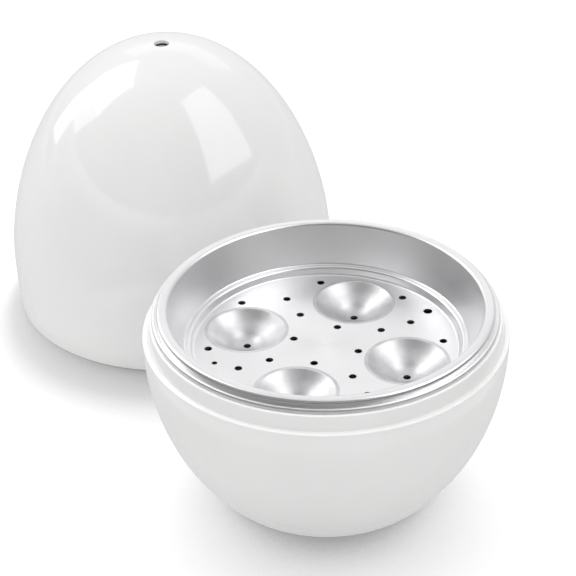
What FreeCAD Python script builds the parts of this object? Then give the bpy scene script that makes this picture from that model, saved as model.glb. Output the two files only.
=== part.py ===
import FreeCAD, Part
import math
import os

# Microwave egg cooker: an egg-shaped steamer that opens into a lidded dome and a bowl.
# All sizes are in millimetres. Z points up, and the origin is the middle of the bowl's flat foot.
# The lid stands mouth down beside the bowl, behind it and to its left.

# Bowl: the moulded lower half of the egg
bowl_radius = 71.0
shoulder_height = 68.0
tip_cut = 17.7
bowl_wall = 2.6
foot_thickness = 3.0
foot_rounding = 2.5
floor_rounding = 4.0
shoulder_width = 2.1
shoulder_rounding = 1.2
shoulder_corner = 0.4
neck_height = 6.3
neck_draft = 0.9
neck_wall = 2.8
neck_rounding = 0.7
bore_depth = 9.0

# Water pan: the metal liner that hangs in the bowl by its rolled hem
pan_clearance = 0.3
pan_sheet = 0.8
pan_gap = 2.0
pan_floor_gap = 7.0
pan_blend = 6.0
pan_corner = 9.0
neck_lip = 1.05
hem_height = 1.9
hem_rounding = 0.8

# Egg tray: the perforated metal pan that rests on the hem
tray_sheet = 0.8
tray_overlap = 1.1
tray_rim_width = 4.0
tray_rim_height = 2.6
tray_rim_rounding = 1.5
tray_depth = 19.2
tray_taper = 6.2
ledge_width = 2.0
ledge_height = 3.2
ledge_rounding = 1.2
step_taper = 1.3
step_rounding = 1.0

# Egg cups pressed into the tray floor
cup_count = 4
cup_phase = 68.5
cup_gap = 13.8
cup_margin = 1.9
cup_edge = 1.4
cup_edge_rounding = 0.9
cup_depth_share = 0.52
crease_radius_share = 0.49
crease_depth_share = 0.66
slope_hollow_share = 0.6
dish_middle_share = 0.7
dish_hollow_share = 0.45

# Steam holes through the tray
hole_radius = 1.5
centre_hole_gap = 3.3
row_hole_inset = 9.2
row_hole_outset = 3.8
rim_hole_gap = 5.9
rim_hole_spread = 22.5
large_hole_radius = 1.8
large_hole_gap = 4.7
large_hole_lead = 5.0
small_hole_radius = 1.1
small_hole_gap = 7.2
small_hole_lead = -9.5

# Lid: the moulded upper part of the egg
lid_bulge = 1.2
lid_height = 123.3
lid_widest_height = 25.3
lid_up_power = 1.79
lid_across_power = 2.07
lid_rim_inset = 0.1
lid_wall = 1.6
lid_clearance = 0.4
lid_mouth_rounding = 0.4
band_height = 5.6
band_curve = 1.1
seat_height = 7.6
vent_radius = 3.2
vent_rounding = 0.5

# Lid liner: the metal dome inside the lid
liner_gap = 0.5
liner_sheet = 0.7
liner_flange_gap = 0.15
liner_bend = 2.0
liner_vent_radius = 2.2

# Where the lid stands
lid_gap = 14.2
lid_bearing = 115.0

# How finely the free curves are drawn, and how closely an edge is matched when it is looked up
curve_steps = 12
low_curve_steps = 4
match_distance = 0.01

# The most of a straight edge that the rounding of one of its corners may take
rounding_share = 0.48

# Heights and radii that follow from the sizes above
widest_height = shoulder_height - shoulder_rounding
neck_base_radius = bowl_radius - shoulder_width
neck_top_radius = neck_base_radius - neck_draft
neck_top = shoulder_height + neck_height
bore_radius = neck_top_radius - neck_wall
bore_bottom = neck_top - bore_depth
pan_outer_radius = bore_radius - pan_clearance
pan_inner_radius = pan_outer_radius - pan_sheet
hem_radius = neck_top_radius - neck_lip
hem_top = neck_top + hem_height
tray_rim_radius = pan_inner_radius + tray_overlap
tray_rim_top = hem_top + tray_rim_height
tray_mouth_radius = tray_rim_radius - tray_rim_width
tray_floor = tray_rim_top - tray_depth
ledge_top = tray_floor + ledge_height
ledge_radius = tray_mouth_radius - tray_taper
step_radius = ledge_radius - ledge_width
tray_floor_radius = step_radius - step_taper
cup_spacing = 360.0 / cup_count
neighbour_share = 2 * math.sin(math.radians(cup_spacing / 2))
cup_room = tray_floor_radius - cup_margin
cup_reach = (neighbour_share * cup_room - cup_gap) / (2 + neighbour_share)
cup_circle = cup_room - cup_reach
cup_radius = cup_reach - cup_edge
cup_depth = cup_depth_share * cup_radius
crease_radius = crease_radius_share * cup_radius
crease_depth = crease_depth_share * cup_depth
inner_rim_rounding = tray_rim_rounding - tray_sheet
outer_step_rounding = step_rounding + tray_sheet
small_hem_rounding = hem_rounding / 2
lid_rim_radius = bowl_radius - lid_rim_inset
lid_radius = bowl_radius + lid_bulge
lid_mouth_radius = neck_base_radius + lid_clearance
lid_distance = bowl_radius + lid_radius + lid_gap
lid_x = lid_distance * math.cos(math.radians(lid_bearing))
lid_y = lid_distance * math.sin(math.radians(lid_bearing))


def point(radius, height):
    """A point of a turned section: distance from the axis, and height."""
    return FreeCAD.Vector(radius, 0, height)


def chain(corners):
    """Straight edges through (radius, height, rounding) corners, each corner rounded by an arc."""
    spots = [point(radius, height) for radius, height, rounding in corners]
    edges = []
    start = spots[0]
    for index in range(1, len(spots)):
        corner = spots[index]
        rounding = corners[index][2]
        if index == len(spots) - 1 or rounding == 0:
            edges.append(Part.LineSegment(start, corner).toShape())
            start = corner
            continue
        back = (start - corner).normalize()
        ahead = (spots[index + 1] - corner).normalize()
        half_turn = back.getAngle(ahead) / 2
        shorter = min(start.distanceToPoint(corner), spots[index + 1].distanceToPoint(corner))
        room = rounding_share * shorter
        reach = min(rounding / math.tan(half_turn), room)
        radius = reach * math.tan(half_turn)
        middle = (back + ahead).normalize()
        bow = corner + middle * (radius / math.sin(half_turn) - radius)
        first = corner + back * reach
        last = corner + ahead * reach
        edges.append(Part.LineSegment(start, first).toShape())
        edges.append(Part.Arc(first, bow, last).toShape())
        start = last
    return edges


def smooth(points):
    """One smooth curve through the points."""
    curve = Part.BSplineCurve()
    curve.interpolate(points)
    return curve.toShape()


def smooth_from_wall(points):
    """A smooth curve through the points that leaves its first point straight down."""
    down = FreeCAD.Vector(0, 0, -1)
    end = points[-1] - points[-2]
    curve = Part.BSplineCurve()
    curve.interpolate(Points=points, InitialTangent=down, FinalTangent=end.normalize())
    return curve.toShape()


def turned(edges):
    """The solid that a closed section makes when it turns about the Z axis."""
    wire = Part.Wire(Part.__sortEdges__(edges))
    face = Part.Face(wire)
    return face.revolve(FreeCAD.Vector(0, 0, 0), FreeCAD.Vector(0, 0, 1), 360)


def round_circle(shape, radius, height, rounding):
    """Rounds the circular edge of that radius at that height."""
    chosen = []
    for edge in shape.Edges:
        box = edge.BoundBox
        flat = box.ZLength < match_distance and abs(box.ZMin - height) < match_distance
        if flat and abs(box.XMax - radius) < match_distance:
            chosen.append(edge)
    return shape.makeFillet(rounding, chosen)


def bowl_oval(inset, high, low):
    """Points of the bowl's egg curve, moved inwards by inset, between two heights."""
    half_width = bowl_radius - inset
    half_height = shoulder_height + tip_cut - inset
    first_angle = math.asin((widest_height - high) / half_height)
    last_angle = math.asin((widest_height - low) / half_height)
    points = []
    for step in range(curve_steps + 1):
        angle = first_angle + (last_angle - first_angle) * step / curve_steps
        radius = half_width * math.cos(angle)
        height = widest_height - half_height * math.sin(angle)
        points.append(point(radius, height))
    return points


def base_bowl():
    """White bowl with a flat foot, a shoulder for the lid and a neck for the pan."""
    undercut = bowl_radius - bowl_wall - bore_radius
    outer = bowl_oval(0, widest_height, 0)
    inner = bowl_oval(bowl_wall, bore_bottom - undercut, foot_thickness)
    upper = chain([
        (outer[0].x, outer[0].z, 0),
        (bowl_radius, shoulder_height, shoulder_rounding),
        (neck_base_radius, shoulder_height, shoulder_corner),
        (neck_top_radius, neck_top, neck_rounding),
        (bore_radius, neck_top, shoulder_corner),
        (bore_radius, bore_bottom, shoulder_corner),
        (inner[0].x, inner[0].z, 0),
    ])
    lower = chain([
        (inner[-1].x, inner[-1].z, 0),
        (0, foot_thickness, 0),
        (0, 0, 0),
        (outer[-1].x, outer[-1].z, 0),
    ])
    solid = turned([smooth(outer), smooth(inner)] + upper + lower)
    solid = round_circle(solid, outer[-1].x, 0, foot_rounding)
    return round_circle(solid, inner[-1].x, foot_thickness, floor_rounding)


def pan_curve(inset, wall_radius):
    """Points of the pan's side: the end of its straight wall, then along the bowl to its floor."""
    full_inset = bowl_wall + pan_gap + inset
    half_width = bowl_radius - full_inset
    half_height = shoulder_height + tip_cut - full_inset
    meeting_angle = math.acos(wall_radius / half_width)
    meeting_height = widest_height - half_height * math.sin(meeting_angle)
    floor_height = foot_thickness + pan_floor_gap + inset
    side = bowl_oval(full_inset, meeting_height - pan_blend, floor_height)
    return [point(wall_radius, meeting_height + pan_blend)] + side


def water_pan():
    """Metal pan for the water: a hem on the neck, a straight wall and a dished bottom."""
    outer = pan_curve(0, pan_outer_radius)
    inner = pan_curve(pan_sheet, pan_inner_radius)
    hem = chain([
        (outer[0].x, outer[0].z, 0),
        (pan_outer_radius, neck_top, 0),
        (hem_radius, neck_top, small_hem_rounding),
        (hem_radius, hem_top, hem_rounding),
        (pan_inner_radius, hem_top, small_hem_rounding),
        (inner[0].x, inner[0].z, 0),
    ])
    floor = chain([
        (inner[-1].x, inner[-1].z, 0),
        (0, inner[-1].z, 0),
        (0, outer[-1].z, 0),
        (outer[-1].x, outer[-1].z, 0),
    ])
    solid = turned([smooth_from_wall(outer), smooth_from_wall(inner)] + hem + floor)
    solid = round_circle(solid, outer[-1].x, outer[-1].z, pan_corner)
    return round_circle(solid, inner[-1].x, inner[-1].z, pan_corner - pan_sheet)


def tray_section():
    """Section of the tray: rolled rim, tapered wall, rounded ledge and flat floor."""
    back_radius = tray_mouth_radius + tray_sheet
    skirt_radius = tray_rim_radius - tray_sheet
    floor_bottom = tray_floor - tray_sheet
    ledge_bottom = ledge_top - tray_sheet
    rim_bottom = tray_rim_top - tray_sheet
    under_ledge_rounding = ledge_rounding / 2
    return chain([
        (0, tray_floor, 0),
        (tray_floor_radius, tray_floor, step_rounding),
        (step_radius, ledge_top, ledge_rounding),
        (ledge_radius, ledge_top, step_rounding),
        (tray_mouth_radius, tray_rim_top, tray_rim_rounding),
        (tray_rim_radius, tray_rim_top, tray_rim_rounding),
        (tray_rim_radius, hem_top, 0),
        (skirt_radius, hem_top, 0),
        (skirt_radius, rim_bottom, inner_rim_rounding),
        (back_radius, rim_bottom, inner_rim_rounding),
        (ledge_radius + tray_sheet, ledge_bottom, outer_step_rounding),
        (step_radius + tray_sheet, ledge_bottom, under_ledge_rounding),
        (tray_floor_radius + tray_sheet, floor_bottom, outer_step_rounding),
        (0, floor_bottom, 0),
        (0, tray_floor, 0),
    ])


def cup_outline(drop, widening):
    """Upper or lower line of an egg cup, from its edge in the floor to its middle."""
    edge_height = tray_floor - drop
    crease_height = edge_height - crease_depth
    bottom_height = edge_height - cup_depth
    slope_radius = cup_radius + widening
    dish_radius = crease_radius + widening
    dish_drop = crease_height - bottom_height
    slope_middle_height = edge_height - slope_hollow_share * crease_depth
    dish_middle_height = bottom_height + dish_hollow_share * dish_drop
    edge = point(cup_reach, edge_height)
    slope_top = point(slope_radius, edge_height)
    slope_middle = point((slope_radius + dish_radius) / 2, slope_middle_height)
    slope_end = point(dish_radius, crease_height)
    dish_middle = point(dish_middle_share * dish_radius, dish_middle_height)
    dish_bottom = point(0, bottom_height)
    return [
        Part.LineSegment(edge, slope_top).toShape(),
        Part.Arc(slope_top, slope_middle, slope_end).toShape(),
        smooth([slope_end, dish_middle, dish_bottom]),
    ]


def egg_cup(angle):
    """One pressed cup, ready to join the tray floor."""
    widening = tray_sheet / 2
    upper = cup_outline(0, 0)
    lower = cup_outline(tray_sheet, widening)
    floor_bottom = tray_floor - tray_sheet
    cup_bottom = tray_floor - cup_depth
    sides = chain([
        (cup_reach, tray_floor, 0),
        (cup_reach, floor_bottom, 0),
    ]) + chain([
        (0, cup_bottom, 0),
        (0, cup_bottom - tray_sheet, 0),
    ])
    cup = turned(upper + lower + sides)
    cup = round_circle(cup, cup_radius, tray_floor, cup_edge_rounding)
    cup.translate(around(cup_circle, angle))
    return cup


def around(radius, angle):
    """Place on a circle about the Z axis, with the angle in degrees from +X."""
    turn = math.radians(angle)
    return FreeCAD.Vector(radius * math.cos(turn), radius * math.sin(turn), 0)


def post(radius, place):
    """An upright cylinder from below the cups to above the floor, to cut through the tray."""
    spare = 2 * tray_sheet
    low = FreeCAD.Vector(place.x, place.y, tray_floor - cup_depth - tray_sheet - spare)
    tall = cup_depth + tray_sheet + 2 * spare
    return Part.makeCylinder(radius, tall, low)


def steam_holes():
    """Cutters for every hole in the tray floor and in the cups."""
    cutters = []
    for index in range(cup_count):
        cup_angle = cup_phase + index * cup_spacing
        gap_angle = cup_angle + cup_spacing / 2
        cutters.append(post(hole_radius, around(cup_circle, cup_angle)))
        cutters.append(post(hole_radius, around(cup_circle - cup_reach - centre_hole_gap, cup_angle)))
        cutters.append(post(hole_radius, around(cup_circle - row_hole_inset, gap_angle)))
        cutters.append(post(hole_radius, around(cup_circle + row_hole_outset, gap_angle)))
        for side in (-1, 1):
            rim_angle = gap_angle + side * rim_hole_spread
            cutters.append(post(hole_radius, around(tray_floor_radius - rim_hole_gap, rim_angle)))
    first_gap = cup_phase - cup_spacing / 2
    opposite_gap = first_gap + 2 * cup_spacing
    large_place = around(tray_floor_radius - large_hole_gap, first_gap + large_hole_lead)
    small_place = around(tray_floor_radius - small_hole_gap, opposite_gap + small_hole_lead)
    cutters.append(post(large_hole_radius, large_place))
    cutters.append(post(small_hole_radius, small_place))
    return cutters


def egg_tray():
    """Perforated tray with its egg cups, resting on the pan's hem."""
    tray = turned(tray_section())
    seats = []
    cups = []
    for index in range(cup_count):
        angle = cup_phase + index * cup_spacing
        seats.append(post(cup_reach, around(cup_circle, angle)))
        cups.append(egg_cup(angle))
    tray = tray.cut(seats)
    tray = tray.fuse(cups)
    tray = tray.cut(steam_holes())
    return tray.removeSplitter()


def lid_curve(inset, low_height, end_radius):
    """Points of the lid's egg curve, from low_height up to the vent."""
    widest = lid_radius - inset
    rise = lid_height - inset - lid_widest_height
    points = []
    for step in range(low_curve_steps):
        height = low_height + (lid_widest_height - low_height) * step / low_curve_steps
        share = (lid_widest_height - height) / lid_widest_height
        points.append(point(widest - band_curve * share ** 2, height))
    last_angle = math.acos((end_radius / widest) ** (lid_across_power / 2))
    for step in range(curve_steps + 1):
        angle = last_angle * step / curve_steps
        radius = widest * math.cos(angle) ** (2 / lid_across_power)
        height = lid_widest_height + rise * math.sin(angle) ** (2 / lid_up_power)
        points.append(point(radius, height))
    return points


def lid_shell():
    """White dome with a vent at its top, a plain band at its mouth and a seat for the liner."""
    outer = lid_curve(0, band_height, vent_radius)
    inner = lid_curve(lid_wall, seat_height, vent_radius)
    mouth = chain([
        (inner[0].x, inner[0].z, 0),
        (lid_mouth_radius, seat_height, 0),
        (lid_mouth_radius, 0, lid_mouth_rounding),
        (lid_rim_radius, 0, lid_mouth_rounding),
        (outer[0].x, outer[0].z, 0),
    ])
    vent = chain([
        (outer[-1].x, outer[-1].z, 0),
        (inner[-1].x, inner[-1].z, 0),
    ])
    solid = turned([smooth(outer), smooth(inner)] + mouth + vent)
    solid = round_circle(solid, vent_radius, outer[-1].z, vent_rounding)
    solid.translate(FreeCAD.Vector(lid_x, lid_y, 0))
    return solid


def lid_liner():
    """Metal dome that follows the inside of the lid and stands on the seat by its flange."""
    outset = lid_wall + liner_gap
    bend_height = seat_height + liner_sheet + liner_bend
    outer = lid_curve(outset, bend_height, liner_vent_radius)
    inner = lid_curve(outset + liner_sheet, bend_height, liner_vent_radius)
    seat_share = (lid_widest_height - seat_height) / lid_widest_height
    shell_inside = lid_radius - lid_wall - band_curve * seat_share ** 2
    flange_radius = shell_inside - liner_flange_gap
    flange = chain([
        (outer[0].x, outer[0].z, 0),
        (outer[0].x, seat_height + liner_sheet, 0),
        (flange_radius, seat_height + liner_sheet, 0),
        (flange_radius, seat_height, 0),
        (inner[0].x, seat_height, liner_sheet),
        (inner[0].x, inner[0].z, 0),
    ])
    vent = chain([
        (outer[-1].x, outer[-1].z, 0),
        (inner[-1].x, inner[-1].z, 0),
    ])
    solid = turned([smooth(outer), smooth(inner)] + flange + vent)
    solid.translate(FreeCAD.Vector(lid_x, lid_y, 0))
    return solid


pieces = {
    "base_bowl": base_bowl,
    "water_pan": water_pan,
    "egg_tray": egg_tray,
    "lid_shell": lid_shell,
    "lid_liner": lid_liner,
}

os.makedirs("parts", exist_ok=True)
for name, build in pieces.items():
    shape = build()
    shape.exportStep("parts/" + name + ".step")
    print(name, "valid", shape.isValid(), "solids", len(shape.Solids), "volume", round(shape.Volume, 1))
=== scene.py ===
import math

import bmesh
import bpy
from mathutils import Matrix, Vector
from mathutils.geometry import delaunay_2d_cdt


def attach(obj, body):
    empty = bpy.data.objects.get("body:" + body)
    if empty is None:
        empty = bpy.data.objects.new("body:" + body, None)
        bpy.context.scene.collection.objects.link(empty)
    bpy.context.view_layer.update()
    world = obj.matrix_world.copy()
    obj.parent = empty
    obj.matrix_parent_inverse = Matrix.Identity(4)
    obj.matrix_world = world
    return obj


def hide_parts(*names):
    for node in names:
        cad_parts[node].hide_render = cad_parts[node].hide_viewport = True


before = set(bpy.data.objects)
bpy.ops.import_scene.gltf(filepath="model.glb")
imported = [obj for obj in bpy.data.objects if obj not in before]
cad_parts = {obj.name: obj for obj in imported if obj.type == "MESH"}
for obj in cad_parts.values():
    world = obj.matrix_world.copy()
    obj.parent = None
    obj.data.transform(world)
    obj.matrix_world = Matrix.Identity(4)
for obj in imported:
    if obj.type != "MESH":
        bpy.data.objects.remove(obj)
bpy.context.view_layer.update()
scene = bpy.context.scene

# Camera: where it stands, how far it looks down and how far it leans
CAMERA_PLACE = Vector((-0.01424, -0.64753, 0.49187))
CAMERA_PITCH = math.radians(32.074)
CAMERA_ROLL = math.radians(-1.318)
CAMERA_LENS = 125.0
SENSOR_WIDTH = 36.0
CAMERA_CLIP = (0.05, 20.0)

# Sizes of the turned shapes, in millimetres, as in the part's source
BOWL_RADIUS = 71.0
SHOULDER_HEIGHT = 68.0
TIP_CUT = 17.7
BOWL_WALL = 2.6
FOOT_THICKNESS = 3.0
FOOT_ROUNDING = 2.5
FLOOR_ROUNDING = 4.0
SHOULDER_WIDTH = 2.1
SHOULDER_ROUNDING = 1.2
SHOULDER_CORNER = 0.4
NECK_HEIGHT = 6.3
NECK_DRAFT = 0.9
NECK_WALL = 2.8
NECK_ROUNDING = 0.7
BORE_DEPTH = 9.0

PAN_CLEARANCE = 0.3
PAN_SHEET = 0.8
PAN_GAP = 2.0
PAN_FLOOR_GAP = 7.0
PAN_BLEND = 6.0
PAN_CORNER = 9.0
NECK_LIP = 1.05
HEM_HEIGHT = 1.9
HEM_ROUNDING = 0.8

TRAY_SHEET = 0.8
TRAY_OVERLAP = 1.1
RIM_WIDTH = 4.0
RIM_HEIGHT = 2.6
RIM_ROUNDING = 1.5
TRAY_DEPTH = 19.2
TRAY_TAPER = 6.2
LEDGE_WIDTH = 2.0
LEDGE_HEIGHT = 3.2
LEDGE_ROUNDING = 1.2
STEP_TAPER = 1.3
STEP_ROUNDING = 1.0

CUP_COUNT = 4
CUP_PHASE = 68.5
CUP_GAP = 13.8
CUP_MARGIN = 1.9
CUP_EDGE = 1.4
CUP_EDGE_ROUNDING = 0.9
CUP_DEPTH_SHARE = 0.52
CREASE_RADIUS_SHARE = 0.49
CREASE_DEPTH_SHARE = 0.66
SLOPE_HOLLOW_SHARE = 0.6
DISH_MIDDLE_SHARE = 0.7
DISH_HOLLOW_SHARE = 0.45

HOLE_RADIUS = 1.5
CENTRE_HOLE_GAP = 3.3
ROW_HOLE_INSET = 9.2
ROW_HOLE_OUTSET = 3.8
RIM_HOLE_GAP = 5.9
RIM_HOLE_SPREAD = 22.5
LARGE_HOLE_RADIUS = 1.8
LARGE_HOLE_GAP = 4.7
LARGE_HOLE_LEAD = 5.0
SMALL_HOLE_RADIUS = 1.1
SMALL_HOLE_GAP = 7.2
SMALL_HOLE_LEAD = -9.5

LID_BULGE = 1.2
LID_HEIGHT = 123.3
LID_WIDEST_HEIGHT = 25.3
LID_UP_POWER = 1.79
LID_ACROSS_POWER = 2.07
LID_RIM_INSET = 0.1
LID_WALL = 1.6
LID_CLEARANCE = 0.4
MOUTH_ROUNDING = 0.4
BAND_HEIGHT = 5.6
BAND_CURVE = 1.1
SEAT_HEIGHT = 7.6
VENT_RADIUS = 3.2
VENT_ROUNDING = 0.5

LINER_GAP = 0.5
LINER_SHEET = 0.7
FLANGE_GAP = 0.15
LINER_BEND = 2.0
LINER_VENT_RADIUS = 2.2

LID_GAP = 14.2
LID_BEARING = 115.0
ROUNDING_SHARE = 0.48

WIDEST_HEIGHT = SHOULDER_HEIGHT - SHOULDER_ROUNDING
NECK_BASE_RADIUS = BOWL_RADIUS - SHOULDER_WIDTH
NECK_TOP_RADIUS = NECK_BASE_RADIUS - NECK_DRAFT
NECK_TOP = SHOULDER_HEIGHT + NECK_HEIGHT
BORE_RADIUS = NECK_TOP_RADIUS - NECK_WALL
BORE_BOTTOM = NECK_TOP - BORE_DEPTH
PAN_OUTER_RADIUS = BORE_RADIUS - PAN_CLEARANCE
PAN_INNER_RADIUS = PAN_OUTER_RADIUS - PAN_SHEET
HEM_RADIUS = NECK_TOP_RADIUS - NECK_LIP
HEM_TOP = NECK_TOP + HEM_HEIGHT
RIM_RADIUS = PAN_INNER_RADIUS + TRAY_OVERLAP
RIM_TOP = HEM_TOP + RIM_HEIGHT
MOUTH_RADIUS = RIM_RADIUS - RIM_WIDTH
TRAY_FLOOR = RIM_TOP - TRAY_DEPTH
LEDGE_TOP = TRAY_FLOOR + LEDGE_HEIGHT
LEDGE_RADIUS = MOUTH_RADIUS - TRAY_TAPER
STEP_RADIUS = LEDGE_RADIUS - LEDGE_WIDTH
FLOOR_RADIUS = STEP_RADIUS - STEP_TAPER
CUP_SPACING = 360.0 / CUP_COUNT
NEIGHBOUR_SHARE = 2 * math.sin(math.radians(CUP_SPACING / 2))
CUP_ROOM = FLOOR_RADIUS - CUP_MARGIN
CUP_REACH = (NEIGHBOUR_SHARE * CUP_ROOM - CUP_GAP) / (2 + NEIGHBOUR_SHARE)
CUP_CIRCLE = CUP_ROOM - CUP_REACH
CUP_RADIUS = CUP_REACH - CUP_EDGE
CUP_DEPTH = CUP_DEPTH_SHARE * CUP_RADIUS
CREASE_RADIUS = CREASE_RADIUS_SHARE * CUP_RADIUS
CREASE_DEPTH = CREASE_DEPTH_SHARE * CUP_DEPTH
LID_RIM_RADIUS = BOWL_RADIUS - LID_RIM_INSET
LID_RADIUS = BOWL_RADIUS + LID_BULGE
LID_MOUTH_RADIUS = NECK_BASE_RADIUS + LID_CLEARANCE
LID_DISTANCE = BOWL_RADIUS + LID_RADIUS + LID_GAP
LID_PLACE = (
    LID_DISTANCE * math.cos(math.radians(LID_BEARING)),
    LID_DISTANCE * math.sin(math.radians(LID_BEARING)),
)

# How finely the shapes are divided, and the scale and limits that the meshes are made with
MILLIMETRE = 0.001
TURN_STEPS = 192
CUP_STEPS = 72
HOLE_STEPS = 32
ARC_STEP = math.radians(7.5)
OVAL_STEPS = 44
LID_STEPS = 60
BAND_STEPS = 10
CURVE_STEPS = 8
HALVINGS = 40
SHARP_ANGLE = math.radians(14)
WELD = 1e-7
FLAT_TOLERANCE = 1e-6
WHOLE_AREA = 0

# Colours, each from a lower to a higher tone, and how rough each surface is
BOWL_COLOURS = ((0.81, 0.81, 0.805), (0.84, 0.84, 0.835))
LID_COLOURS = ((0.85, 0.85, 0.85), (0.88, 0.88, 0.875))
PLASTIC_ROUGHNESS = (0.085, 0.12)
PAN_COLOURS = ((0.84, 0.84, 0.85), (0.90, 0.90, 0.91))
PAN_ROUGHNESS = (0.40, 0.48)
TRAY_COLOURS = ((0.78, 0.78, 0.79), (0.84, 0.84, 0.85))
TRAY_ROUGHNESS = (0.28, 0.36)
# The cups' colours are darker than the tray's: painted shade in the hollows; their rougher satin finish is
# their own
CUP_SHADED_COLOURS = ((0.58, 0.58, 0.59), (0.70, 0.70, 0.71))
CUP_ROUGHNESS = (0.40, 0.50)
LINER_COLOURS = ((0.76, 0.76, 0.77), (0.82, 0.82, 0.83))
LINER_ROUGHNESS = (0.20, 0.28)

# How fine and how detailed each pattern is, how deep the fine ones are, in metres, and how plastic shines
NOISE_RANGE = (0.3, 0.7)
PLAIN_DETAIL = 2.0
MORE_DETAIL = 3.0
MOST_DETAIL = 4.0
MOTTLE_SCALE = 22.0
GLOSS_SCALE = 60.0
RIPPLE_SCALE = 90.0
RIPPLE_DEPTH = 0.00002
PLASTIC_IOR = 1.5
COAT_WEIGHT = 0.25
COAT_ROUGHNESS = 0.05
LINE_SCALE = 1200.0
LINE_DEPTH = 0.000003
LINE_STRETCH = 0.35
CLOUD_SCALE = 35.0
GRAIN_SCALE = 1400.0
GRAIN_DEPTH = 0.000006
CUP_CLOUD_SCALE = 160.0

# Floor: the sheet that the camera sees, with its soft shadow, partly cast by the lamps and partly painted as
# a glow that follows ambient occlusion, and the plain one under it
FLOOR_HALF = 3.0
FLOOR_HEIGHT = -0.00005
UNDER_FLOOR_HEIGHT = -0.0002
FLOOR_GRAIN_SCALE = 4.0
FLOOR_VARIATION = 0.01
FLOOR_TONE = 0.90
SEEN_TONE = 0.20
NEAR_DISTANCE = 0.07
NEAR_SAMPLES = 16
NEAR_WAY = (0.0, 1.5, 1.0)
# Painted shadow: the floor's glow at each ambient occlusion value, darker near the object
PAINTED_SHADOW_GLOW = (
    (0.0, 0.0),
    (0.08, 0.18),
    (0.16, 0.36),
    (0.28, 0.44),
    (0.40, 0.56),
    (0.58, 0.65),
    (0.76, 0.80),
)

# Lamps: where each one stands, how wide it is and its power, and then the place that they point at
KEY_LAMP = ((-0.30, 0.50, 1.20), 0.85, 3.6)
EDGE_LAMP = ((0.0, -0.03, 1.15), 0.8, 3.4)
SHADOW_LAMP = ((0.06, 0.62, 1.15), 0.32, 26.0)
LAMP_TARGET = (0.0, 0.04, 0.03)

# The room's even light, a little brighter from above and behind
ROOM_LIGHT_WAY = (0.0, 0.5, 0.866)
ROOM_LIGHT_SPREAD = (-0.45, 0.75)
ROOM_LIGHT = (1.08, 1.11)

# What gloss sees of the room: pale at the back, darker overhead and in front
GLOSS_WAY = (0.15, 0.85, 0.50)
GLOSS_SPREAD = (-0.3, 0.9)
GLOSS_LIGHT = (0.22, 0.95)

# Where the middle of the reflections on the lid is, and how far away the cards that show there stand
CARD_CENTRE = Vector((-0.060, 0.115, 0.105))
CARD_DISTANCE = 0.9

# The directions in which each card's corners are seen from the lid, and how bright the cards are
RIGHT_WINDOW = ((0.237, -0.167, 0.957), (0.49, 0.216, 0.845), (0.945, -0.077, 0.318), (0.588, -0.705, 0.396))
LEFT_WINDOW = ((-0.296, 0.609, 0.736), (-0.421, 0.145, 0.895), (-0.80, 0.05, 0.597), (-0.678, 0.602, 0.421))
LEFT_LOWER = ((-0.80, 0.05, 0.597), (-0.961, 0.255, 0.11), (-0.791, 0.611, 0.024), (-0.678, 0.602, 0.421))
RIGHT_WINDOW_GLOW = 2.6
LEFT_WINDOW_GLOW = 3.6
LEFT_LOWER_GLOW = 2.2
BACK_BAND_TURNS = (204, 192, 180, 168, 156, 143)
BACK_BAND_LIFTS = (22, 40)
BACK_BAND_GLOW = 1.25

# Dark screens round the front, which show only in reflections: one upright, one lying on the floor
SCREEN_TURNS = range(-120, 121, 10)
SCREEN_RADIUS = 0.60
SCREEN_HEIGHT = 0.26
SCREEN_RISE_START = 0.12
SCREEN_FLOOR_RADIUS = 0.13
SCREEN_SPREAD_END = 0.22
SCREEN_LIFT = 0.0004
SCREEN_DARK = 0.10
SCREEN_BRIGHT = 1.08
SCREEN_FADE = (-0.15, 0.48)
SCREEN_END = 0.65

# A pale grey disc in place of the floor in reflections, so that the object's edges stand out from it
DISC_TURNS = range(-180, 181, 10)
DISC_RADIUS = 1.2
DISC_GLOW = 0.70


def arc(centre, first, last):
    """Points on the arc from first to last about centre."""
    begin = first - centre
    end = last - centre
    start_angle = math.atan2(begin.y, begin.x)
    sweep = math.atan2(begin.x * end.y - begin.y * end.x, begin.dot(end))
    steps = max(2, math.ceil(abs(sweep) / ARC_STEP))
    points = []
    for step in range(steps + 1):
        share = step / steps
        reach = begin.length + (end.length - begin.length) * share
        angle = start_angle + sweep * share
        points.append(centre + reach * Vector((math.cos(angle), math.sin(angle))))
    return points


def rounded(corners):
    """Points along straight runs through (radius, height, rounding) corners, each corner rounded."""
    spots = [Vector(corner[:2]) for corner in corners]
    points = [spots[0]]
    for index in range(1, len(spots) - 1):
        corner = spots[index]
        rounding = corners[index][2]
        if rounding == 0:
            points.append(corner)
            continue
        back = points[-1] - corner
        ahead = spots[index + 1] - corner
        half_turn = back.angle(ahead) / 2
        reach = min(rounding / math.tan(half_turn), ROUNDING_SHARE * min(back.length, ahead.length))
        radius = reach * math.tan(half_turn)
        middle = (back.normalized() + ahead.normalized()).normalized()
        centre = corner + middle * (radius / math.sin(half_turn))
        points += arc(centre, corner + back.normalized() * reach, corner + ahead.normalized() * reach)
    points.append(spots[-1])
    return points


def oval_point(inset, angle):
    """A point of the bowl's egg curve, moved inwards by inset."""
    half_height = SHOULDER_HEIGHT + TIP_CUT - inset
    return Vector(((BOWL_RADIUS - inset) * math.cos(angle), WIDEST_HEIGHT - half_height * math.sin(angle)))


def oval_way(inset, angle):
    """The direction in which the egg curve runs down there."""
    half_height = SHOULDER_HEIGHT + TIP_CUT - inset
    return Vector((-(BOWL_RADIUS - inset) * math.sin(angle), -half_height * math.cos(angle))).normalized()


def oval_angle(inset, height):
    """The angle at which the egg curve passes a height."""
    return math.asin((WIDEST_HEIGHT - height) / (SHOULDER_HEIGHT + TIP_CUT - inset))


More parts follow.
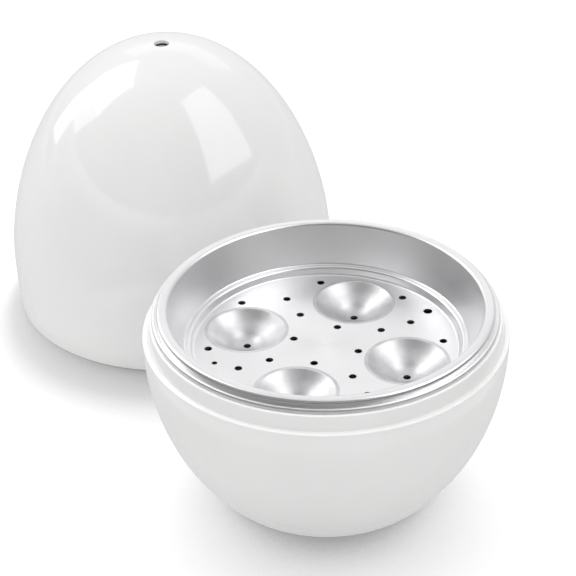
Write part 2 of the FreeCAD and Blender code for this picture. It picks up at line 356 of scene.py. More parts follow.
def oval_to_floor(inset, high, floor, rounding):
    """The egg curve from a height down to a flat floor, with the corner between them rounded."""
    first = oval_angle(inset, high)
    low = first
    far = oval_angle(inset, floor)
    for _ in range(HALVINGS):
        angle = (low + far) / 2
        way = oval_way(inset, angle)
        centre = oval_point(inset, angle) + rounding * Vector((way.y, -way.x))
        if centre.y > floor + rounding:
            low = angle
        else:
            far = angle
    points = [oval_point(inset, first + (low - first) * step / OVAL_STEPS) for step in range(OVAL_STEPS)]
    return points + arc(centre, oval_point(inset, low), Vector((centre.x, floor)))


def bowl_section():
    """Section of the bowl, from the middle of its inside floor round to the middle of its foot."""
    undercut = BOWL_RADIUS - BOWL_WALL - BORE_RADIUS
    outer = oval_to_floor(0, WIDEST_HEIGHT, 0, FOOT_ROUNDING)
    inner = oval_to_floor(BOWL_WALL, BORE_BOTTOM - undercut, FOOT_THICKNESS, FLOOR_ROUNDING)
    upper = rounded([
        (inner[0].x, inner[0].y, 0),
        (BORE_RADIUS, BORE_BOTTOM, SHOULDER_CORNER),
        (BORE_RADIUS, NECK_TOP, SHOULDER_CORNER),
        (NECK_TOP_RADIUS, NECK_TOP, NECK_ROUNDING),
        (NECK_BASE_RADIUS, SHOULDER_HEIGHT, SHOULDER_CORNER),
        (BOWL_RADIUS, SHOULDER_HEIGHT, SHOULDER_ROUNDING),
        (outer[0].x, outer[0].y, 0),
    ])
    return [Vector((0, FOOT_THICKNESS))] + inner[::-1] + upper + outer + [Vector((0, 0))]


def pan_side(inset, wall_radius):
    """The pan's side: from its straight wall into the egg curve and on to its floor."""
    full_inset = BOWL_WALL + PAN_GAP + inset
    meeting = oval_point(full_inset, math.acos(wall_radius / (BOWL_RADIUS - full_inset))).y
    floor = FOOT_THICKNESS + PAN_FLOOR_GAP + inset
    curve = oval_to_floor(full_inset, meeting - PAN_BLEND, floor, PAN_CORNER - inset)
    wall = Vector((wall_radius, meeting + PAN_BLEND))
    length = (curve[0] - wall).length
    down = Vector((0, -length))
    along = oval_way(full_inset, oval_angle(full_inset, meeting - PAN_BLEND)) * length
    blend = []
    for step in range(CURVE_STEPS):
        share = step / CURVE_STEPS
        rest = 1 - share
        point = wall * (1 + 2 * share) * rest ** 2 + curve[0] * share ** 2 * (3 - 2 * share)
        blend.append(point + down * share * rest ** 2 - along * share ** 2 * rest)
    return blend + curve


def pan_section():
    """Section of the water pan, from the middle of its inside floor round to the middle of its underside."""
    outer = pan_side(0, PAN_OUTER_RADIUS)
    inner = pan_side(PAN_SHEET, PAN_INNER_RADIUS)
    hem = rounded([
        (inner[0].x, inner[0].y, 0),
        (PAN_INNER_RADIUS, HEM_TOP, HEM_ROUNDING / 2),
        (HEM_RADIUS, HEM_TOP, HEM_ROUNDING),
        (HEM_RADIUS, NECK_TOP, HEM_ROUNDING / 2),
        (PAN_OUTER_RADIUS, NECK_TOP, 0),
        (outer[0].x, outer[0].y, 0),
    ])
    return [Vector((0, inner[-1].y))] + inner[::-1] + hem + outer + [Vector((0, outer[-1].y))]


def lid_curve(inset, low_height, end_radius):
    """The lid's egg curve, from low_height up to the vent."""
    widest = LID_RADIUS - inset
    rise = LID_HEIGHT - inset - LID_WIDEST_HEIGHT
    points = []
    for step in range(BAND_STEPS):
        height = low_height + (LID_WIDEST_HEIGHT - low_height) * step / BAND_STEPS
        share = (LID_WIDEST_HEIGHT - height) / LID_WIDEST_HEIGHT
        points.append(Vector((widest - BAND_CURVE * share ** 2, height)))
    last_angle = math.acos((end_radius / widest) ** (LID_ACROSS_POWER / 2))
    for step in range(LID_STEPS + 1):
        angle = last_angle * step / LID_STEPS
        radius = widest * math.cos(angle) ** (2 / LID_ACROSS_POWER)
        height = LID_WIDEST_HEIGHT + rise * math.sin(angle) ** (2 / LID_UP_POWER)
        points.append(Vector((radius, height)))
    return points


def lid_section():
    """Closed section of the lid."""
    outer = lid_curve(0, BAND_HEIGHT, VENT_RADIUS)
    inner = lid_curve(LID_WALL, SEAT_HEIGHT, VENT_RADIUS)
    vent = rounded([
        (outer[-2].x, outer[-2].y, 0),
        (outer[-1].x, outer[-1].y, VENT_ROUNDING),
        (inner[-1].x, inner[-1].y, 0),
    ])
    mouth = rounded([
        (inner[0].x, inner[0].y, 0),
        (LID_MOUTH_RADIUS, SEAT_HEIGHT, 0),
        (LID_MOUTH_RADIUS, 0, MOUTH_ROUNDING),
        (LID_RIM_RADIUS, 0, MOUTH_ROUNDING),
        (outer[0].x, outer[0].y, 0),
    ])
    return outer[:-1] + vent + inner[::-1] + mouth


def liner_section():
    """Closed section of the lid's metal liner, with its flange."""
    outset = LID_WALL + LINER_GAP
    bend_height = SEAT_HEIGHT + LINER_SHEET + LINER_BEND
    outer = lid_curve(outset, bend_height, LINER_VENT_RADIUS)
    inner = lid_curve(outset + LINER_SHEET, bend_height, LINER_VENT_RADIUS)
    seat_share = (LID_WIDEST_HEIGHT - SEAT_HEIGHT) / LID_WIDEST_HEIGHT
    flange_radius = LID_RADIUS - LID_WALL - BAND_CURVE * seat_share ** 2 - FLANGE_GAP
    flange = rounded([
        (inner[0].x, inner[0].y, 0),
        (inner[0].x, SEAT_HEIGHT, LINER_SHEET),
        (flange_radius, SEAT_HEIGHT, 0),
        (flange_radius, SEAT_HEIGHT + LINER_SHEET, 0),
        (outer[0].x, SEAT_HEIGHT + LINER_SHEET, 0),
        (outer[0].x, outer[0].y, 0),
    ])
    return outer + inner[::-1] + flange


def tray_section():
    """Section of the tray from the edge of its floor, over the rim and back below."""
    floor_bottom = TRAY_FLOOR - TRAY_SHEET
    corners = [
        (0, TRAY_FLOOR, 0),
        (FLOOR_RADIUS, TRAY_FLOOR, STEP_ROUNDING),
        (STEP_RADIUS, LEDGE_TOP, LEDGE_ROUNDING),
        (LEDGE_RADIUS, LEDGE_TOP, STEP_ROUNDING),
        (MOUTH_RADIUS, RIM_TOP, RIM_ROUNDING),
        (RIM_RADIUS, RIM_TOP, RIM_ROUNDING),
        (RIM_RADIUS, HEM_TOP, 0),
        (RIM_RADIUS - TRAY_SHEET, HEM_TOP, 0),
        (RIM_RADIUS - TRAY_SHEET, RIM_TOP - TRAY_SHEET, RIM_ROUNDING - TRAY_SHEET),
        (MOUTH_RADIUS + TRAY_SHEET, RIM_TOP - TRAY_SHEET, RIM_ROUNDING - TRAY_SHEET),
        (LEDGE_RADIUS + TRAY_SHEET, LEDGE_TOP - TRAY_SHEET, STEP_ROUNDING + TRAY_SHEET),
        (STEP_RADIUS + TRAY_SHEET, LEDGE_TOP - TRAY_SHEET, LEDGE_ROUNDING / 2),
        (FLOOR_RADIUS + TRAY_SHEET, floor_bottom, STEP_ROUNDING + TRAY_SHEET),
        (0, floor_bottom, 0),
    ]
    return rounded(corners)[1:-1]


def three_point_arc(first, middle, last):
    """Points on the arc through three points."""
    ax, ay = middle - first
    bx, by = last - first
    scale = 2 * (ax * by - ay * bx)
    a_square = ax * ax + ay * ay
    b_square = bx * bx + by * by
    across = (by * a_square - ay * b_square) / scale
    up = (ax * b_square - bx * a_square) / scale
    return arc(first + Vector((across, up)), first, last)


def three_point_curve(first, middle, last):
    """Points on a smooth curve through three points."""
    share = (middle - first).length / ((middle - first).length + (last - middle).length)
    points = []
    for step in range(CURVE_STEPS + 1):
        t = step / CURVE_STEPS
        near = (t - share) * (t - 1) / share
        mid = t * (t - 1) / (share * (share - 1))
        end = t * (t - share) / (1 - share)
        points.append(first * near + middle * mid + last * end)
    return points


def cup_line(drop, widening):
    """Upper or lower line of an egg cup, from its edge in the floor down to its hole."""
    edge_height = TRAY_FLOOR - drop
    crease_height = edge_height - CREASE_DEPTH
    bottom_height = edge_height - CUP_DEPTH
    slope_radius = CUP_RADIUS + widening
    dish_radius = CREASE_RADIUS + widening
    slope_top = Vector((slope_radius, edge_height))
    hollow_height = edge_height - SLOPE_HOLLOW_SHARE * CREASE_DEPTH
    slope_middle = Vector(((slope_radius + dish_radius) / 2, hollow_height))
    slope_end = Vector((dish_radius, crease_height))
    dish_rise = DISH_HOLLOW_SHARE * (crease_height - bottom_height)
    dish_middle = Vector((DISH_MIDDLE_SHARE * dish_radius, bottom_height + dish_rise))
    slope = three_point_arc(slope_top, slope_middle, slope_end)
    dish = three_point_curve(slope_end, dish_middle, Vector((0, bottom_height)))
    inside = [point for point in dish if point.x > HOLE_RADIUS]
    beyond = next(point for point in dish if point.x <= HOLE_RADIUS)
    share = (inside[-1].x - HOLE_RADIUS) / (inside[-1].x - beyond.x)
    last = inside[-1] + (beyond - inside[-1]) * share
    edge = rounded([
        (CUP_REACH, edge_height, 0),
        (slope_top.x, slope_top.y, 0 if drop else CUP_EDGE_ROUNDING),
        (slope[1].x, slope[1].y, 0),
    ])
    return edge[:-1] + slope[1:] + inside[1:] + [last]


def ring(bm, centre, radius, height, steps):
    """A ring of points about an upright axis, in millimetres."""
    made = []
    for step in range(steps):
        angle = 2 * math.pi * step / steps
        x = centre[0] + radius * math.cos(angle)
        y = centre[1] + radius * math.sin(angle)
        made.append(bm.verts.new((x * MILLIMETRE, y * MILLIMETRE, height * MILLIMETRE)))
    return made


def add_turned(bm, section, centre, steps, closed=False):
    """Turns a section of (radius, height) points about an upright axis."""
    rings = []
    for radius, height in section:
        if radius < WELD:
            place = (centre[0] * MILLIMETRE, centre[1] * MILLIMETRE, height * MILLIMETRE)
            rings.append([bm.verts.new(place)] * steps)
        else:
            rings.append(ring(bm, centre, radius, height, steps))
    pairs = list(zip(rings, rings[1:]))
    if closed:
        pairs.append((rings[-1], rings[0]))
    for one, other in pairs:
        for step in range(steps):
            ahead = (step + 1) % steps
            corners = [one[step], one[ahead], other[ahead], other[step]]
            bm.faces.new(dict.fromkeys(corners))


def circle_points(centre, radius, steps):
    """Flat points round a circle, in millimetres."""
    angles = [2 * math.pi * step / steps for step in range(steps)]
    return [Vector((centre[0] + radius * math.cos(a), centre[1] + radius * math.sin(a))) for a in angles]


def around(radius, degrees):
    """A place on a circle about the tray's axis."""
    turn = math.radians(degrees)
    return radius * math.cos(turn), radius * math.sin(turn)


def cup_places():
    """Where the cups stand."""
    return [around(CUP_CIRCLE, CUP_PHASE + index * CUP_SPACING) for index in range(CUP_COUNT)]


def floor_holes():
    """Place and radius of every steam hole in the flat floor."""
    holes = []
    for index in range(CUP_COUNT):
        cup_angle = CUP_PHASE + index * CUP_SPACING
        gap_angle = cup_angle + CUP_SPACING / 2
        holes.append((around(CUP_CIRCLE - CUP_REACH - CENTRE_HOLE_GAP, cup_angle), HOLE_RADIUS))
        holes.append((around(CUP_CIRCLE - ROW_HOLE_INSET, gap_angle), HOLE_RADIUS))
        holes.append((around(CUP_CIRCLE + ROW_HOLE_OUTSET, gap_angle), HOLE_RADIUS))
        for side in (-1, 1):
            rim_angle = gap_angle + side * RIM_HOLE_SPREAD
            holes.append((around(FLOOR_RADIUS - RIM_HOLE_GAP, rim_angle), HOLE_RADIUS))
    first_gap = CUP_PHASE - CUP_SPACING / 2
    last_gap = first_gap + 2 * CUP_SPACING
    holes.append((around(FLOOR_RADIUS - LARGE_HOLE_GAP, first_gap + LARGE_HOLE_LEAD), LARGE_HOLE_RADIUS))
    holes.append((around(FLOOR_RADIUS - SMALL_HOLE_GAP, last_gap + SMALL_HOLE_LEAD), SMALL_HOLE_RADIUS))
    return holes


def add_flat(bm, radius, height, up):
    """One side of the tray's flat floor, open at the cups and the holes."""
    outlines = [circle_points((0, 0), radius, TURN_STEPS)]
    outlines += [circle_points(place, CUP_REACH, CUP_STEPS) for place in cup_places()]
    outlines += [circle_points(place, size, HOLE_STEPS) for place, size in floor_holes()]
    points = []
    loops = []
    for outline in outlines:
        first = len(points)
        points += outline
        loops.append(list(range(first, len(points))))
    edges = [(loop[step - 1], loop[step]) for loop in loops for step in range(len(loop))]
    flat, _, faces, _, _, _ = delaunay_2d_cdt(points, edges, loops[:1], WHOLE_AREA, FLAT_TOLERANCE)
    openings = [(place, CUP_REACH) for place in cup_places()] + floor_holes()
    made = [bm.verts.new((p.x * MILLIMETRE, p.y * MILLIMETRE, height * MILLIMETRE)) for p in flat]
    for face in faces:
        middle = sum((flat[corner] for corner in face), Vector((0, 0))) / len(face)
        if any((middle - Vector(place)).length < size for place, size in openings):
            continue
        corners = [made[corner] for corner in face]
        bm.faces.new(corners if up else corners[::-1])


def finished(name, bm, node_name, materials):
    """Makes the piece of a finished mesh and hides the CAD node that it stands for."""
    bmesh.ops.remove_doubles(bm, verts=bm.verts, dist=WELD)
    bmesh.ops.recalc_face_normals(bm, faces=bm.faces)
    mesh = bpy.data.meshes.new(name)
    bm.to_mesh(mesh)
    bm.free()
    mesh.shade_smooth()
    mesh.set_sharp_from_angle(angle=SHARP_ANGLE)
    for material in materials:
        mesh.materials.append(material)
    piece = bpy.data.objects.new(name, mesh)
    scene.collection.objects.link(piece)
    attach(piece, "root")
    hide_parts(node_name)
    return piece


def turned_piece(name, section, centre, closed, node_name, material):
    """A piece that is one turned section."""
    bm = bmesh.new()
    add_turned(bm, section, centre, TURN_STEPS, closed)
    return finished(name, bm, node_name, [material])


def crease_ring(piece, height):
    """Shows the edge round a piece at a height, in millimetres, as a crease."""
    mesh = piece.data
    for edge in mesh.edges:
        offsets = [abs(mesh.vertices[corner].co.z - height * MILLIMETRE) for corner in edge.vertices]
        if max(offsets) < WELD:
            edge.use_edge_sharp = True


def tray_piece(name, node_name, material, cup_material):
    """The tray: its turned outside, its cups, and the flat floor with its holes between them."""
    bm = bmesh.new()
    section = tray_section()
    add_turned(bm, section, (0, 0), TURN_STEPS)
    floor_bottom = TRAY_FLOOR - TRAY_SHEET
    cup = cup_line(0, 0) + cup_line(TRAY_SHEET, TRAY_SHEET / 2)[::-1]
    outside = len(bm.faces)
    for place in cup_places():
        add_turned(bm, cup, place, CUP_STEPS)
    for face in list(bm.faces)[outside:]:
        face.material_index = 1
    for place, size in floor_holes():
        add_turned(bm, [Vector((size, TRAY_FLOOR)), Vector((size, floor_bottom))], place, HOLE_STEPS)
    add_flat(bm, section[0].x, TRAY_FLOOR, True)
    add_flat(bm, section[-1].x, floor_bottom, False)
    return finished(name, bm, node_name, [material, cup_material])


def new_material(name):
    """A new material and its emptied node tree."""
    material = bpy.data.materials.new(name)
    material.use_nodes = True
    material.node_tree.nodes.clear()
    return material, material.node_tree


def node(tree, kind, **settings):
    """A new node, with its properties set."""
    made = tree.nodes.new(kind)
    for name, value in settings.items():
        setattr(made, name, value)
    return made


def finish_material(tree, shader):
    """Shows a shader on the surface."""
    output = node(tree, "ShaderNodeOutputMaterial")
    tree.links.new(shader, output.inputs["Surface"])


def own_place(tree):
    """The object's own coordinates."""
    return node(tree, "ShaderNodeTexCoord").outputs["Object"]


def noise(tree, vector, scale, detail=PLAIN_DETAIL):
    """A noise texture of a place."""
    made = node(tree, "ShaderNodeTexNoise")
    made.inputs["Scale"].default_value = scale
    made.inputs["Detail"].default_value = detail
    tree.links.new(vector, made.inputs["Vector"])
    return made.outputs["Fac"]


def spread(tree, value, source, target, curve="LINEAR"):
    """Maps a value from one range to another."""
    made = node(tree, "ShaderNodeMapRange", interpolation_type=curve)
    made.inputs["From Min"].default_value = source[0]
    made.inputs["From Max"].default_value = source[1]
    made.inputs["To Min"].default_value = target[0]
    made.inputs["To Max"].default_value = target[1]
    tree.links.new(value, made.inputs["Value"])
    return made.outputs["Result"]


def colour_spread(tree, value, colours):
    """A colour between a lower and a higher one, after a noise value."""
    made = node(tree, "ShaderNodeValToRGB")
    for mark, place, colour in zip(made.color_ramp.elements, NOISE_RANGE, colours):
        mark.position = place
        mark.color = (*colour, 1)
    tree.links.new(value, made.inputs["Fac"])
    return made.outputs["Color"]


def tone_curve(tree, value, stops):
    """A grey that follows a value through (place, tone) stops."""
    made = node(tree, "ShaderNodeValToRGB")
    marks = made.color_ramp.elements
    while len(marks) < len(stops):
        marks.new(stops[-1][0])
    for mark, (place, tone) in zip(marks, stops):
        mark.position = place
        mark.color = (tone, tone, tone, 1)
    tree.links.new(value, made.inputs["Fac"])
    return made.outputs["Color"]


def bump(tree, height, depth):
    """A fine surface relief from a height value."""
    made = node(tree, "ShaderNodeBump")
    made.inputs["Distance"].default_value = depth
    tree.links.new(height, made.inputs["Height"])
    return made.outputs["Normal"]


def principled(tree, colour, roughness, relief):
    """The surface shader, with its colour, roughness and relief linked."""
    surface = node(tree, "ShaderNodeBsdfPrincipled")
    tree.links.new(colour, surface.inputs["Base Color"])
    tree.links.new(roughness, surface.inputs["Roughness"])
    tree.links.new(relief, surface.inputs["Normal"])
    return surface


def white_plastic(name, colours):
    """Glossy moulded plastic with a faint mottle and a faint ripple."""
    material, tree = new_material(name)
    place = own_place(tree)
    colour = colour_spread(tree, noise(tree, place, MOTTLE_SCALE, MORE_DETAIL), colours)
    mottle = noise(tree, place, GLOSS_SCALE, MORE_DETAIL)
    gloss = spread(tree, mottle, NOISE_RANGE, PLASTIC_ROUGHNESS)
    ripple = bump(tree, noise(tree, place, RIPPLE_SCALE), RIPPLE_DEPTH)
    surface = principled(tree, colour, gloss, ripple)
    surface.inputs["IOR"].default_value = PLASTIC_IOR
    surface.inputs["Coat Weight"].default_value = COAT_WEIGHT
    surface.inputs["Coat Roughness"].default_value = COAT_ROUGHNESS
    finish_material(tree, surface.outputs["BSDF"])
    return material


def turned_lines(tree, place, centre):
    """Fine rings about an upright axis: noise along the radius and the height together."""
    shift = node(tree, "ShaderNodeVectorMath", operation="SUBTRACT")
    shift.inputs[1].default_value = (centre[0] * MILLIMETRE, centre[1] * MILLIMETRE, 0)
    tree.links.new(place, shift.inputs[0])
    apart = node(tree, "ShaderNodeSeparateXYZ")
    tree.links.new(shift.outputs["Vector"], apart.inputs["Vector"])
    flat = node(tree, "ShaderNodeCombineXYZ")
    tree.links.new(apart.outputs["X"], flat.inputs["X"])
    tree.links.new(apart.outputs["Y"], flat.inputs["Y"])
    radius = node(tree, "ShaderNodeVectorMath", operation="LENGTH")
    tree.links.new(flat.outputs["Vector"], radius.inputs[0])
    along = node(tree, "ShaderNodeMath", operation="ADD")
    tree.links.new(radius.outputs["Value"], along.inputs[0])
    tree.links.new(apart.outputs["Z"], along.inputs[1])
    lines = node(tree, "ShaderNodeTexNoise", noise_dimensions="1D")
    lines.inputs["Scale"].default_value = LINE_SCALE
    lines.inputs["Detail"].default_value = MORE_DETAIL
    tree.links.new(along.outputs["Value"], lines.inputs["W"])
    return lines.outputs["Fac"]


def spun_metal(name, centre, colours, roughness):
    """Bright aluminium with fine turned lines about an upright axis through centre."""
    material, tree = new_material(name)
    place = own_place(tree)
    lines = turned_lines(tree, place, centre)
    colour = colour_spread(tree, noise(tree, place, CLOUD_SCALE, MOST_DETAIL), colours)
    gloss = spread(tree, lines, NOISE_RANGE, roughness)
    surface = principled(tree, colour, gloss, bump(tree, lines, LINE_DEPTH))
    surface.inputs["Metallic"].default_value = 1.0
    surface.inputs["Anisotropic"].default_value = LINE_STRETCH
    tangent = node(tree, "ShaderNodeTangent", direction_type="RADIAL", axis="Z")
    tree.links.new(tangent.outputs["Tangent"], surface.inputs["Tangent"])
    finish_material(tree, surface.outputs["BSDF"])
    return material


def satin_metal(name, colours, roughness):
    """Pressed aluminium with a fine even grain."""
    material, tree = new_material(name)
    place = own_place(tree)
    grain = noise(tree, place, GRAIN_SCALE)
    colour = colour_spread(tree, noise(tree, place, CUP_CLOUD_SCALE, MORE_DETAIL), colours)
    gloss = spread(tree, grain, NOISE_RANGE, roughness)
    surface = principled(tree, colour, gloss, bump(tree, grain, GRAIN_DEPTH))
    surface.inputs["Metallic"].default_value = 1.0
    finish_material(tree, surface.outputs["BSDF"])
    return material


def card_material(name, strength):
    """A plain light card."""
    material, tree = new_material(name)
    glow = node(tree, "ShaderNodeEmission")
    glow.inputs["Strength"].default_value = strength
    finish_material(tree, glow.outputs["Emission"])
    return material


def add_card(name, corners, faces, material):
    """A glowing card that shows only in reflections."""
    mesh = bpy.data.meshes.new(name)
    mesh.from_pydata([tuple(corner) for corner in corners], [], faces)
    mesh.materials.append(material)
    card = bpy.data.objects.new(name, mesh)
    scene.collection.objects.link(card)
    card.visible_camera = False
    card.visible_diffuse = False
    card.visible_shadow = False


def flat_card(name, directions, strength):
    """A flat card whose corners are seen from the lid in the given directions."""
    middle = sum((Vector(way).normalized() for way in directions), Vector()).normalized()
    corners = []
    for direction in directions:
        ray = Vector(direction).normalized()
        corners.append(CARD_CENTRE + ray * (CARD_DISTANCE / ray.dot(middle)))
    add_card(name, corners, [tuple(range(len(corners)))], card_material(name, strength))


def strip_faces(turns):
    """Faces of a strip that has two corners at each turn."""
    return [(first, first + 2, first + 3, first + 1) for first in range(0, 2 * len(turns) - 2, 2)]


def curved_band(name, turns, lifts, strength):
    """A band of light behind the object, between two heights above the horizon, in degrees."""
    corners = []
    for turn in turns:
        for lift in lifts:
            across = math.cos(math.radians(lift))
            side = Vector((
                across * math.sin(math.radians(turn)),
                -across * math.cos(math.radians(turn)),
                math.sin(math.radians(lift)),
            ))
            corners.append(CARD_CENTRE + side * CARD_DISTANCE)
    add_card(name, corners, strip_faces(turns), card_material(name, strength))


def ring_strip(name, turns, inner, outer, material):
    """A card between two (radius, height) rings, from turn to turn about the bowl."""
    corners = []
    for turn in turns:
        angle = math.radians(turn)
        for radius, height in (inner, outer):
            corners.append((radius * math.sin(angle), -radius * math.cos(angle), height))
    add_card(name, corners, strip_faces(turns), material)


def screen_material(name, upright, source, target):
    """A screen whose glow changes with height or with distance, and fades away towards the back."""
    material, tree = new_material(name)
    place = own_place(tree)
    if upright:
        apart = node(tree, "ShaderNodeSeparateXYZ")
        tree.links.new(place, apart.inputs["Vector"])
        value = apart.outputs["Z"]
    else:
        far = node(tree, "ShaderNodeVectorMath", operation="LENGTH")
        tree.links.new(place, far.inputs[0])
        value = far.outputs["Value"]
    level = spread(tree, value, source, target, "SMOOTHSTEP")
    way = node(tree, "ShaderNodeVectorMath", operation="NORMALIZE")
    tree.links.new(place, way.inputs[0])
    parts = node(tree, "ShaderNodeSeparateXYZ")
    tree.links.new(way.outputs["Vector"], parts.inputs["Vector"])
    mix = node(tree, "ShaderNodeMix", data_type="FLOAT")
    mix.inputs["B"].default_value = SCREEN_END
    tree.links.new(spread(tree, parts.outputs["Y"], SCREEN_FADE, (0, 1), "SMOOTHSTEP"), mix.inputs["Factor"])
    tree.links.new(level, mix.inputs["A"])
    glow = node(tree, "ShaderNodeEmission")
    tree.links.new(mix.outputs["Result"], glow.inputs["Strength"])
    finish_material(tree, glow.outputs["Emission"])
    return material


def add_screens():
    """The dark screens that give the metal its dark lines, and the grey disc that gloss sees below."""
    rise = (SCREEN_RISE_START, SCREEN_HEIGHT)
    upright = screen_material("upright_screen", True, rise, (SCREEN_DARK, SCREEN_BRIGHT))
    reach = (SCREEN_FLOOR_RADIUS, SCREEN_SPREAD_END)
    lying = screen_material("lying_screen", False, reach, (SCREEN_BRIGHT, SCREEN_DARK))
    under = card_material("under_screen", DISC_GLOW)
    foot = (SCREEN_RADIUS, 0)
    top = (SCREEN_RADIUS, SCREEN_HEIGHT)
    near = (SCREEN_FLOOR_RADIUS, SCREEN_LIFT)
    far = (SCREEN_RADIUS, SCREEN_LIFT)
    middle = (0.0, SCREEN_LIFT / 2)
    edge = (DISC_RADIUS, SCREEN_LIFT / 2)
    ring_strip("upright_screen", SCREEN_TURNS, foot, top, upright)
    ring_strip("lying_screen", SCREEN_TURNS, near, far, lying)
    ring_strip("under_screen", DISC_TURNS, middle, edge, under)


def add_cards():
    """The window lights that show on the lid, and the pale band behind."""
    flat_card("right_window", RIGHT_WINDOW, RIGHT_WINDOW_GLOW)
    flat_card("left_window", LEFT_WINDOW, LEFT_WINDOW_GLOW)
    flat_card("left_lower_window", LEFT_LOWER, LEFT_LOWER_GLOW)
    curved_band("back_band", BACK_BAND_TURNS, BACK_BAND_LIFTS, BACK_BAND_GLOW)


def floor_sheet(name, height, material):
    """A wide flat sheet under the object."""
    corners = [(-1, -1), (1, -1), (1, 1), (-1, 1)]
    mesh = bpy.data.meshes.new(name)
    mesh.from_pydata([(x * FLOOR_HALF, y * FLOOR_HALF, height) for x, y in corners], [], [(0, 1, 2, 3)])
    mesh.materials.append(material)
    sheet = bpy.data.objects.new(name, mesh)
    scene.collection.objects.link(sheet)
    return sheet


def floor_diffuse(tree, tone):
    """A matt grey that varies slightly."""
    grain = noise(tree, own_place(tree), FLOOR_GRAIN_SCALE)
    matt = node(tree, "ShaderNodeBsdfDiffuse")
    higher = tone + FLOOR_VARIATION
    colour = colour_spread(tree, grain, ((tone, tone, tone), (higher, higher, higher)))
    tree.links.new(colour, matt.inputs["Color"])
    return matt.outputs["BSDF"]


def under_floor():
    """The plain pale floor that sends light back to the object."""
    material, tree = new_material("under_floor")
    finish_material(tree, floor_diffuse(tree, FLOOR_TONE))
    sheet = floor_sheet("under_floor", UNDER_FLOOR_HEIGHT, material)
    sheet.visible_camera = False


def seen_floor():
    """The white floor that the camera sees: a dim matt grey with the lamps' real shadows, plus a painted
    shadow, a glow that darkens where ambient occlusion finds the object near.
    """
    material, tree = new_material("floor")
    # painted shadow: ambient occlusion, tilted towards the back, sets the glow, so the floor darkens near
    # the object
    near = node(tree, "ShaderNodeAmbientOcclusion", samples=NEAR_SAMPLES)
    near.inputs["Distance"].default_value = NEAR_DISTANCE
    aim = node(tree, "ShaderNodeVectorMath", operation="NORMALIZE")
    aim.inputs[0].default_value = NEAR_WAY
    tree.links.new(aim.outputs["Vector"], near.inputs["Normal"])
    glow = node(tree, "ShaderNodeEmission")
    tree.links.new(tone_curve(tree, near.outputs["AO"], PAINTED_SHADOW_GLOW), glow.inputs["Color"])
    shown = node(tree, "ShaderNodeAddShader")
    tree.links.new(floor_diffuse(tree, SEEN_TONE), shown.inputs[0])
    tree.links.new(glow.outputs["Emission"], shown.inputs[1])
    finish_material(tree, shown.outputs["Shader"])
    sheet = floor_sheet("floor", FLOOR_HEIGHT, material)
    sheet.visible_diffuse = False
    sheet.visible_glossy = False
    sheet.visible_shadow = False
    return sheet


def add_lamp(name, place, size, power):
    """A large soft round lamp that points at the object and doesn't show in reflections."""
    light = bpy.data.lights.new(name, "AREA")
    light.shape = "DISK"
    light.size = size
    light.energy = power
    lamp = bpy.data.objects.new(name, light)
    scene.collection.objects.link(lamp)
    lamp.location = place
    aim = Vector(LAMP_TARGET) - Vector(place)
    lamp.rotation_mode = "QUATERNION"
    lamp.rotation_quaternion = aim.to_track_quat("-Z", "Y")
    lamp.visible_glossy = False
    lamp.visible_camera = False
    return lamp


def group_of(name, thing):
    """A collection that holds one thing, for a lamp to be linked to."""
    group = bpy.data.collections.new(name)
    group.objects.link(thing)
    return group


def add_lamps(bowl, lid, floor):
    """The main lamp, one for the glints on the bowl's edges and one for the lid's shadow on the floor."""
    add_lamp("key", *KEY_LAMP)
    edge_light = add_lamp("edge_light", *EDGE_LAMP)
    edge_light.visible_glossy = True
    edge_light.light_linking.receiver_collection = group_of("edge_light_lit", bowl)
    shadow_light = add_lamp("shadow_light", *SHADOW_LAMP)
    shadow_light.light_linking.receiver_collection = group_of("shadow_light_lit", floor)
    shadow_light.light_linking.blocker_collection = group_of("shadow_light_blocker", lid)


def room_level(tree, way, toward, source, target):
    """A background whose strength changes towards one direction."""
    along = node(tree, "ShaderNodeVectorMath", operation="DOT_PRODUCT")
    along.inputs[1].default_value = Vector(toward).normalized()
    tree.links.new(way, along.inputs[0])
    glow = node(tree, "ShaderNodeBackground")
    level = spread(tree, along.outputs["Value"], source, target, "SMOOTHSTEP")
    tree.links.new(level, glow.inputs["Strength"])
    return glow.outputs["Background"]


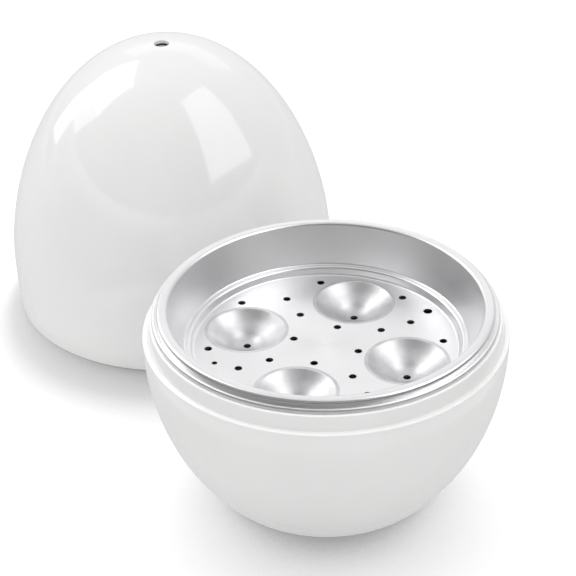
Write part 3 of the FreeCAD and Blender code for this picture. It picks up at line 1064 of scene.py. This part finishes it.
def add_room():
    """Soft even light, and a room with more contrast in what shines."""
    world = bpy.data.worlds.new("room")
    scene.world = world
    world.use_nodes = True
    tree = world.node_tree
    tree.nodes.clear()
    way = node(tree, "ShaderNodeTexCoord").outputs["Generated"]
    path = node(tree, "ShaderNodeLightPath")
    mix = node(tree, "ShaderNodeMixShader")
    tree.links.new(path.outputs["Is Glossy Ray"], mix.inputs["Fac"])
    tree.links.new(room_level(tree, way, ROOM_LIGHT_WAY, ROOM_LIGHT_SPREAD, ROOM_LIGHT), mix.inputs[1])
    tree.links.new(room_level(tree, way, GLOSS_WAY, GLOSS_SPREAD, GLOSS_LIGHT), mix.inputs[2])
    output = node(tree, "ShaderNodeOutputWorld")
    tree.links.new(mix.outputs["Shader"], output.inputs["Surface"])


def add_camera():
    """The camera, level but for its pitch and a slight lean."""
    lens = bpy.data.cameras.new("camera")
    lens.lens = CAMERA_LENS
    lens.sensor_width = SENSOR_WIDTH
    lens.clip_start, lens.clip_end = CAMERA_CLIP
    camera = bpy.data.objects.new("camera", lens)
    scene.collection.objects.link(camera)
    forward = Vector((0, math.cos(CAMERA_PITCH), -math.sin(CAMERA_PITCH)))
    level_up = Vector((0, math.sin(CAMERA_PITCH), math.cos(CAMERA_PITCH)))
    level_right = Vector((1, 0, 0))
    right = level_right * math.cos(CAMERA_ROLL) + level_up * math.sin(CAMERA_ROLL)
    up = level_up * math.cos(CAMERA_ROLL) - level_right * math.sin(CAMERA_ROLL)
    turn = Matrix((right, up, -forward)).transposed()
    camera.matrix_world = Matrix.Translation(CAMERA_PLACE) @ turn.to_4x4()
    scene.camera = camera


bowl_plastic = white_plastic("bowl_plastic", BOWL_COLOURS)
lid_plastic = white_plastic("lid_plastic", LID_COLOURS)
pan_metal = spun_metal("pan_metal", (0, 0), PAN_COLOURS, PAN_ROUGHNESS)
tray_metal = spun_metal("tray_metal", (0, 0), TRAY_COLOURS, TRAY_ROUGHNESS)
# the cups' darker colours are painted shade in the hollows
cup_metal = satin_metal("cup_metal", CUP_SHADED_COLOURS, CUP_ROUGHNESS)
liner_metal = spun_metal("liner_metal", LID_PLACE, LINER_COLOURS, LINER_ROUGHNESS)

bowl = turned_piece("bowl", bowl_section(), (0, 0), False, "base_bowl", bowl_plastic)
turned_piece("pan", pan_section(), (0, 0), False, "water_pan", pan_metal)
tray_piece("tray", "egg_tray", tray_metal, cup_metal)
lid = turned_piece("lid", lid_section(), LID_PLACE, True, "lid_shell", lid_plastic)
crease_ring(lid, BAND_HEIGHT)
turned_piece("liner", liner_section(), LID_PLACE, True, "lid_liner", liner_metal)

under_floor()
floor = seen_floor()
add_room()
add_lamps(bowl, lid, floor)
add_screens()
add_cards()
add_camera()
scene.view_settings.view_transform = "Standard"
